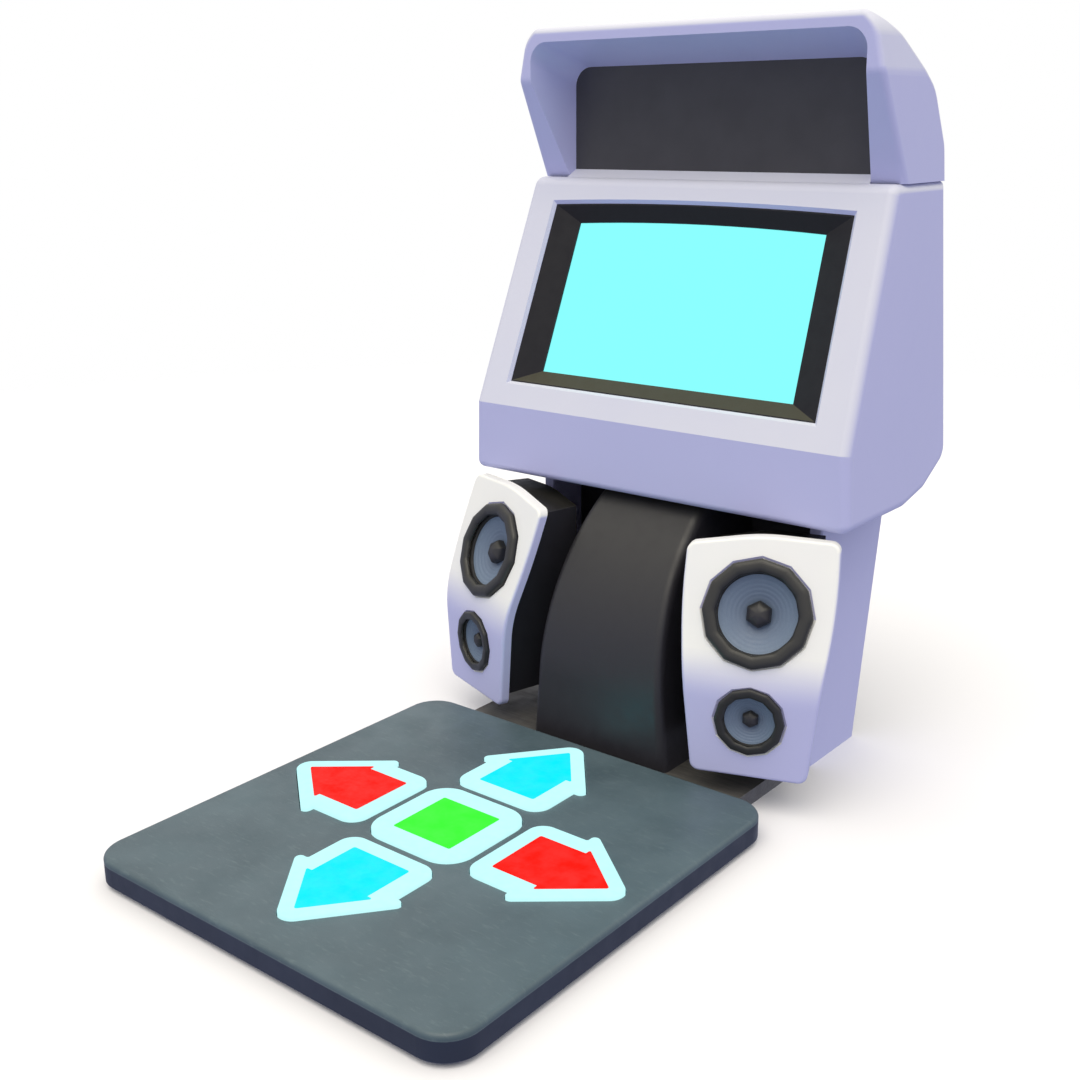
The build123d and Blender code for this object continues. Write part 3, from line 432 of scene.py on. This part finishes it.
def coated_paper():
    """Blue-grey doped paper of the speaker cones: soft fibres pressed flat, and darker towards the neck."""
    material, tree = start_material("doped_paper_cone")
    # Paper fibres of 1 to 2 mm.
    fibres = speckle(tree, 1.8 * MM, 0, 1, detail=6)
    fine = blend_colour(tree, fibres, "6b7c94", "76889e")
    along = add_node(tree, "ShaderNodeAttribute", {"attribute_name": "outward"}).outputs["Fac"]
    colour = blend_colour(tree, along, "5d6b82", fine)
    end_material(tree, {"IOR": 1.5}, {
        "Base Color": colour,
        "Roughness": speckle(tree, 10 * MM, 0.42, 0.58),
        "Normal": bump(tree, fibres, 0.08 * MM),
    })
    return material


finishes = {
    # In the shell, baffle, charcoal, ring and bezel finishes, the paler or warmer colour is painted top light
    # on faces that turn up.
    "shell": abs_with_painted_top_light(),
    "baffle": abs_with_painted_top_light("baffle_abs_painted_top_light", "f8f8f1"),
    "charcoal": charcoal_abs(),
    "ring": charcoal_abs("satin_black_trim", "242425", "2c2b26", rough=0.36),
    "bezel": charcoal_abs("black_bezel_abs", "1b1a1f", "4b4939", rough=0.55, start=0.5, gloss=0.25),
    "deck": slate_deck(),
    "navy": navy_powder(),
    "ice": lit_plastic("frosted_ice_polycarbonate", "c5fdff", 0.96),
    "red": lit_plastic("red_lit_lens", "ff1200", 0.98),
    "cyan": lit_plastic("cyan_lit_lens", "00ecff", 0.97),
    "green": lit_plastic("green_lit_lens", "3cff34", 0.98),
    "screen": screen_glass(),
    "marquee": smoked_acrylic(),
    "board": painted_board(),
    "plinth": stained_plywood(),
    "rubber": moulded_rubber(),
    "zinc": zinc_plate(),
    "aluminium": cast_aluminium(),
    "case": pressed_steel_case(),
    "circuit": circuit_board(),
    "cone": coated_paper(),
}

# The finish of each CAD piece, by its node.
node_finishes = {
    "shell": ("chin_panel", "monitor_surround", "head_side_left", "head_side_right", "head_hood",
              "column_side_left", "column_side_right"),
    "baffle": ("left_speaker_baffle", "right_speaker_baffle"),
    "charcoal": ("pedestal_cover", "left_speaker_box", "right_speaker_box", "power_inlet", "power_switch",
                 "fan_frame", "fan_rotor"),
    "ring": ("speaker_rings",),
    "bezel": ("screen_bezel",),
    "deck": ("stage_deck",),
    "navy": ("stage_frame",),
    "screen": ("monitor_glass",),
    "marquee": ("marquee_panel",),
    # The column's liner is black board, and its black is also painted shade for the dark band seen under the
    # head.
    "board": ("column_back", "column_liner", "head_floor", "head_back_panel", "service_door"),
    "plinth": ("plinth",),
    "rubber": ("stage_feet",),
    "zinc": ("cabinet_screws", "door_lock", "door_pivots", "panel_sensors", "speaker_brackets",
             "speaker_drivers"),
    "aluminium": ("amplifier", "power_supply"),
    "case": ("game_computer", "monitor_chassis", "marquee_lamps"),
    "circuit": ("panel_light_boards",),
    "cone": ("left_woofer_cone", "right_woofer_cone", "left_mid_cone", "right_mid_cone"),
}
lens_finishes = {"centre": "green", "up": "cyan", "down": "cyan", "left": "red", "right": "red"}


def dress(piece, finish):
    """Gives a piece its finish in its one material slot."""
    if piece.data.materials:
        piece.data.materials[0] = finishes[finish]
    else:
        piece.data.materials.append(finishes[finish])


for finish, names in node_finishes.items():
    for name in names:
        dress(nodes[name], finish)
for name, finish in lens_finishes.items():
    dress(nodes[f"{name}_step_lens"], finish)
    dress(nodes[f"{name}_step_panel"], "ice")
    dress(nodes[f"{name}_panel_pads"], "rubber")


# ---- Meshes
def make_piece(name, bm, finish):
    """A finished object at the origin from a bmesh, faces outwards and smooth across gentle turns."""
    bmesh.ops.remove_doubles(bm, verts=bm.verts, dist=MERGE_DISTANCE)
    bmesh.ops.recalc_face_normals(bm, faces=bm.faces)
    mesh = bpy.data.meshes.new(name)
    for face in bm.faces:
        face.smooth = True
    bm.to_mesh(mesh)
    bm.free()
    mesh.set_sharp_from_angle(angle=math.radians(SHARP_ANGLE))
    piece = bpy.data.objects.new(name, mesh)
    bpy.context.scene.collection.objects.link(piece)
    dress(piece, finish)
    return piece


def polygon_share(angle, sides):
    """How far a polygon with softened corners reaches, as a share of its reach at the corner at angle 0."""
    if not sides:
        return 1.0
    turn = 2 * math.asin(CORNER_CRISPNESS)
    there = 2 * math.asin(CORNER_CRISPNESS * math.cos(sides * angle))
    return math.cos((turn + math.pi) / (2 * sides)) / math.cos((there + math.pi) / (2 * sides))


def lathe(bm, section, frame_matrix, segments, sides=0):
    """Turns a closed (radius, height) section about the local Z axis, round or as a polygon."""
    outward = bm.verts.layers.float.get("outward") or bm.verts.layers.float.new("outward")
    reach = max(radius for radius, _ in section)
    rows = []
    for step in range(segments):
        angle = 2 * math.pi * step / segments
        share = polygon_share(angle, sides)
        row = []
        for radius, height in section:
            local = Vector((-math.sin(angle) * radius * share, math.cos(angle) * radius * share, height))
            vert = bm.verts.new(frame_matrix @ local)
            vert[outward] = radius / reach
            row.append(vert)
        rows.append(row)
    for step, row in enumerate(rows):
        beside = rows[(step + 1) % segments]
        for i in range(len(section)):
            j = (i + 1) % len(section)
            if section[i][0] > ON_AXIS or section[j][0] > ON_AXIS:
                bm.faces.new([row[i], row[j], beside[j], beside[i]])


# ---- Speakers
def driver_frame(side, name):
    """A driver's frame and radius. Z is out of the cone, Y up the baffle, the origin in the baffle's face."""
    out = Vector(joints[f"{side}_{name}_travel"]["axis"]).normalized()
    across = Vector((0, 0, 1)).cross(out).normalized()
    up = out.cross(across)
    points = [v.co for v in nodes[f"{side}_{name}_cone"].data.vertices]
    spans = []
    for direction in (across, up, out):
        reaches = [p.dot(direction) for p in points]
        spans.append((min(reaches), max(reaches)))
    middle = [(low + high) / 2 for low, high in spans]
    radius = ((spans[0][1] - spans[0][0]) / 2 + CONE_RIM_GAP) / CONE_RIM
    origin = across * middle[0] + up * middle[1] + out * (spans[2][1] + CONE_FRONT_DEPTH * radius)
    matrix = Matrix((across, up, out)).transposed().to_4x4()
    matrix.translation = origin
    return matrix, radius


def ring_section(radius):
    """The trim ring's closed section: a low crowned band with a leg down into the baffle's recess."""
    middle = (1 + RING_INNER) / 2 * radius
    half = (1 - RING_INNER) / 2 * radius
    crown = []
    for step in range(RING_STEPS + 1):
        along = math.cos(math.pi * step / RING_STEPS)
        rise = (1 - abs(along) ** RING_FLATNESS) ** (1 / RING_FULLNESS)
        crown.append((middle + half * along, RING_SEAT + (RING_HEIGHT * radius - RING_SEAT) * rise))
    leg = RING_LEG * radius
    return [(radius, -RECESS_DEPTH), *crown, (leg, RING_SEAT), (leg, -RECESS_DEPTH)]


def cone_section(radius):
    """The paper cone's closed section, with shallow pressed ribs on its outer part."""
    front = []
    for step in range(CONE_STEPS + 1):
        share = step / CONE_STEPS
        out = CONE_NECK + (CONE_OUTER - CONE_NECK) * share
        height = CONE_BOTTOM + (CONE_TOP - CONE_BOTTOM) * share ** CONE_FLARE
        rib = RIB_HEIGHT * math.sin(math.pi * 2 * CONE_RIBS * share) * min(1, RIB_GROWTH * share)
        front.append((out * radius, height * radius + rib))
    back = [(out, height - CONE_SHEET) for out, height in reversed(front)]
    return front + back


def cap_section(radius):
    """The dust cap's closed section, a dome that meets the axis."""
    dome = []
    for step in range(CAP_STEPS + 1):
        angle = math.pi / 2 * step / CAP_STEPS
        height = CAP_FOOT + CAP_HEIGHT * math.sin(angle)
        dome.append((CAP_RADIUS * radius * math.cos(angle), height * radius))
    dome[-1] = (0.0, dome[-1][1])
    foot = (CAP_FOOT - CAP_SKIRT) * radius
    return [(0.0, foot), (CAP_RADIUS * radius, foot), *dome]


def surround_section(radius):
    """The rubber half-roll between the cone and the driver's frame."""
    inner = (CONE_OUTER - ROLL_TUCK) * radius
    outer = CONE_RIM * radius - CONE_RIM_GAP
    middle = (inner + outer) / 2
    half = (outer - inner) / 2
    over = []
    under = []
    for step in range(ROLL_STEPS + 1):
        angle = math.pi * step / ROLL_STEPS
        rise = half * ROLL_RISE * math.sin(angle)
        over.append((middle - half * math.cos(angle), CONE_TOP * radius + rise))
        under.append((middle - (half - ROLL_SHEET) * math.cos(angle), CONE_TOP * radius - ROLL_SHEET + rise))
    return over + under[::-1]


def make_speaker(side):
    """One side's trim rings, and each driver's paper cone, dust cap and surround on its moving body."""
    rings = bmesh.new()
    for name in ("woofer", "mid"):
        matrix, radius = driver_frame(side, name)
        lathe(rings, ring_section(radius), matrix, RING_SIDES * RING_SIDE_SEGMENTS, RING_SIDES)
        body = f"{side}_{name}_cone"

        paper = bmesh.new()
        lathe(paper, cone_section(radius), matrix, ROUND_SEGMENTS)
        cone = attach(make_piece(f"{side}_{name}_paper_cone", paper, "cone"), body)
        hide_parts(f"{side}_{name}_cone")

        cap = bmesh.new()
        lathe(cap, cap_section(radius), matrix, CAP_SIDES * CAP_SIDE_SEGMENTS, CAP_SIDES)
        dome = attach(make_piece(f"{side}_{name}_dust_cap", cap, "charcoal"), body)

        roll = bmesh.new()
        lathe(roll, surround_section(radius), matrix, ROUND_SEGMENTS)
        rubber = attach(make_piece(f"{side}_{name}_surround", roll, "rubber"), body)
    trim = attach(make_piece(f"{side}_speaker_trim_rings", rings, "ring"), "machine")
    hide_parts("speaker_rings")


make_speaker("left")
make_speaker("right")


# ---- Fan guard
def guard_tree():
    """Geometry nodes of a wire finger guard: evenly spaced rings on evenly turned spokes."""
    tree = bpy.data.node_groups.new("wire_guard", "GeometryNodeTree")
    sockets = {
        "Rings": "NodeSocketInt",
        "Pitch": "NodeSocketFloat",
        "Spokes": "NodeSocketInt",
        "Wire": "NodeSocketFloat",
        "Finish": "NodeSocketMaterial",
    }
    for name, kind in sockets.items():
        tree.interface.new_socket(name, in_out="INPUT", socket_type=kind)
    tree.interface.new_socket("Geometry", in_out="OUTPUT", socket_type="NodeSocketGeometry")
    given = add_node(tree, "NodeGroupInput").outputs
    index = add_node(tree, "GeometryNodeInputIndex").outputs[0]

    ring_points = add_node(tree, "GeometryNodePoints", links={"Count": given["Rings"]})
    ring_number = add_node(tree, "ShaderNodeMath", {"operation": "ADD", 1: 1.0}, {0: index})
    ring_radius = add_node(
        tree, "ShaderNodeMath", {"operation": "MULTIPLY"}, {0: ring_number.outputs[0], 1: given["Pitch"]}
    )
    circle = add_node(
        tree, "GeometryNodeCurvePrimitiveCircle", {"Resolution": GUARD_RING_STEPS, "Radius": 1.0}
    )
    rings = add_node(tree, "GeometryNodeInstanceOnPoints", links={
        "Points": ring_points.outputs[0],
        "Instance": circle.outputs["Curve"],
        "Scale": ring_radius.outputs[0],
    })

    spoke_points = add_node(tree, "GeometryNodePoints", links={"Count": given["Spokes"]})
    part_turn = add_node(tree, "ShaderNodeMath", {"operation": "DIVIDE", 0: math.pi}, {1: given["Spokes"]})
    turn = add_node(tree, "ShaderNodeMath", {"operation": "MULTIPLY"}, {0: index, 1: part_turn.outputs[0]})
    about_z = add_node(tree, "ShaderNodeCombineXYZ", links={"Z": turn.outputs[0]})
    reach = add_node(
        tree, "ShaderNodeMath", {"operation": "MULTIPLY"}, {0: given["Rings"], 1: given["Pitch"]}
    )
    back = add_node(tree, "ShaderNodeMath", {"operation": "MULTIPLY", 1: -1.0}, {0: reach.outputs[0]})
    drop = add_node(
        tree, "ShaderNodeMath", {"operation": "MULTIPLY", 1: -GUARD_SPOKE_DROP}, {0: given["Wire"]}
    )
    start = add_node(tree, "ShaderNodeCombineXYZ", links={"X": back.outputs[0], "Z": drop.outputs[0]})
    end = add_node(tree, "ShaderNodeCombineXYZ", links={"X": reach.outputs[0], "Z": drop.outputs[0]})
    line = add_node(tree, "GeometryNodeCurvePrimitiveLine", links={
        "Start": start.outputs[0], "End": end.outputs[0],
    })
    spokes = add_node(tree, "GeometryNodeInstanceOnPoints", links={
        "Points": spoke_points.outputs[0],
        "Instance": line.outputs[0],
        "Rotation": about_z.outputs[0],
    })

    both = add_node(tree, "GeometryNodeJoinGeometry")
    for part in (rings, spokes):
        tree.links.new(part.outputs[0], both.inputs[0])
    curves = add_node(tree, "GeometryNodeRealizeInstances", links={0: both.outputs[0]})
    profile = add_node(
        tree, "GeometryNodeCurvePrimitiveCircle", {"Resolution": GUARD_WIRE_STEPS}, {"Radius": given["Wire"]}
    )
    wires = add_node(tree, "GeometryNodeCurveToMesh", {"Fill Caps": True}, {
        "Curve": curves.outputs[0], "Profile Curve": profile.outputs["Curve"],
    })
    whole = add_node(tree, "GeometryNodeRealizeInstances", links={0: wires.outputs[0]})
    finished = add_node(tree, "GeometryNodeSetMaterial", links={
        0: whole.outputs[0], "Material": given["Finish"],
    })
    add_node(tree, "NodeGroupOutput", links={0: finished.outputs[0]})
    return tree


def make_fan_guard():
    """The zinc-plated wire guard on the outside of the head's back panel, over the fan's holes."""
    spin = joints["fan_spin"]
    out = Vector(spin["axis"]).normalized()
    rotor_low, rotor_high = (Vector(corner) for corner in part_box("fan_rotor"))
    across = Vector((0, 0, 1)).cross(out).normalized()
    matrix = Matrix((across, out.cross(across), out)).transposed().to_4x4()
    matrix.translation = (rotor_low + rotor_high) / 2 + out * GUARD_STAND_OFF

    blank = bpy.data.meshes.new("fan_guard")
    guard = bpy.data.objects.new("fan_guard", blank)
    bpy.context.scene.collection.objects.link(guard)
    tree = guard_tree()
    live = guard.modifiers.new("wires", "NODES")
    live.node_group = tree
    chosen = {
        "Rings": GUARD_RINGS,
        "Pitch": GUARD_PITCH,
        "Spokes": GUARD_SPOKES,
        "Wire": GUARD_WIRE,
        "Finish": finishes["zinc"],
    }
    for socket in tree.interface.items_tree:
        if socket.name in chosen:
            live[socket.identifier] = chosen[socket.name]
    bpy.context.view_layer.update()
    graph = bpy.context.evaluated_depsgraph_get()
    mesh = bpy.data.meshes.new_from_object(guard.evaluated_get(graph))
    guard.modifiers.clear()
    mesh.transform(matrix)
    guard.data = mesh
    for face in mesh.polygons:
        face.use_smooth = True
    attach(guard, "machine")


make_fan_guard()


# ---- Floor, sky, lamp and camera
def make_floor():
    """A plain pale floor that fades out with distance. It sends no light back: the sky lights from below."""
    bm = bmesh.new()
    bmesh.ops.create_circle(bm, cap_ends=True, segments=ROUND_SEGMENTS, radius=FLOOR_RADIUS)
    mesh = bpy.data.meshes.new("floor")
    bm.to_mesh(mesh)
    bm.free()
    floor = bpy.data.objects.new("floor", mesh)
    bpy.context.scene.collection.objects.link(floor)
    floor.visible_diffuse = False
    floor.visible_glossy = False
    material, tree = start_material("pale_floor")
    distance = add_node(tree, "ShaderNodeVectorMath", {"operation": "LENGTH"}, {0: place(tree)})
    near, far = FLOOR_FADE
    fade = add_node(
        tree, "ShaderNodeMapRange", {"From Min": near, "From Max": far, "interpolation_type": "SMOOTHSTEP"},
        {"Value": distance.outputs["Value"]},
    )
    paint = add_node(tree, "ShaderNodeBsdfDiffuse", {"Color": linear("f0f0f4")})
    clear = add_node(tree, "ShaderNodeBsdfTransparent")
    mixed = add_node(tree, "ShaderNodeMixShader", links={
        0: fade.outputs[0], 1: paint.outputs[0], 2: clear.outputs[0],
    })
    add_node(tree, "ShaderNodeOutputMaterial", links={"Surface": mixed.outputs[0]})
    floor.data.materials.append(material)


def make_sky():
    """A soft white sky over a cool horizon; the camera itself sees plain white."""
    world = bpy.data.worlds.new("soft_studio")
    bpy.context.scene.world = world
    world.use_nodes = True
    tree = world.node_tree
    tree.nodes.clear()
    direction = add_node(tree, "ShaderNodeTexCoord").outputs["Generated"]
    height = add_node(tree, "ShaderNodeSeparateXYZ", links={0: direction}).outputs["Z"]
    upper = add_node(tree, "ShaderNodeMapRange", {"From Min": -0.1, "From Max": 0.9}, {"Value": height})
    sky = add_node(tree, "ShaderNodeMix", {"data_type": "RGBA"}, {0: upper.outputs[0]})
    sky.inputs[6].default_value = HORIZON_LIGHT
    sky.inputs[7].default_value = ZENITH_LIGHT
    seen = add_node(tree, "ShaderNodeLightPath").outputs["Is Camera Ray"]
    light = add_node(tree, "ShaderNodeBackground", {"Strength": 1.0}, {"Color": sky.outputs[2]})
    plain = add_node(tree, "ShaderNodeBackground", {"Color": (1, 1, 1, 1), "Strength": 1.0})
    mixed = add_node(tree, "ShaderNodeMixShader", links={0: seen, 1: light.outputs[0], 2: plain.outputs[0]})
    add_node(tree, "ShaderNodeOutputWorld", links={"Surface": mixed.outputs[0]})


def make_lamp(name, azimuth, elevation, strength, colour, angle):
    """A very wide sun, which gives the same soft light at every height."""
    light = bpy.data.lights.new(name, "SUN")
    light.energy = strength
    light.color = linear(colour)[:3]
    light.angle = math.radians(angle)
    lamp = bpy.data.objects.new(name, light)
    lamp.rotation_euler = (math.radians(90 - elevation), 0, math.radians(azimuth))
    bpy.context.scene.collection.objects.link(lamp)


def make_camera():
    """The camera, which frames the whole machine from its front right."""
    data = bpy.data.cameras.new("camera")
    data.lens = CAMERA_LENS
    data.sensor_width = CAMERA_SENSOR
    camera = bpy.data.objects.new("camera", data)
    turn = Matrix.Rotation(math.radians(CAMERA_AZIMUTH), 4, "Z")
    tilt = Matrix.Rotation(math.radians(90 - CAMERA_PITCH), 4, "X")
    roll = Matrix.Rotation(math.radians(CAMERA_ROLL), 4, "Z")
    camera.matrix_world = Matrix.Translation(CAMERA_PLACE) @ turn @ tilt @ roll
    bpy.context.scene.collection.objects.link(camera)
    bpy.context.scene.camera = camera


make_floor()
make_sky()
make_lamp("key", azimuth=20, elevation=66, strength=1.1, colour="fff6e6", angle=50)
make_camera()
bpy.context.scene.view_settings.view_transform = "Standard"
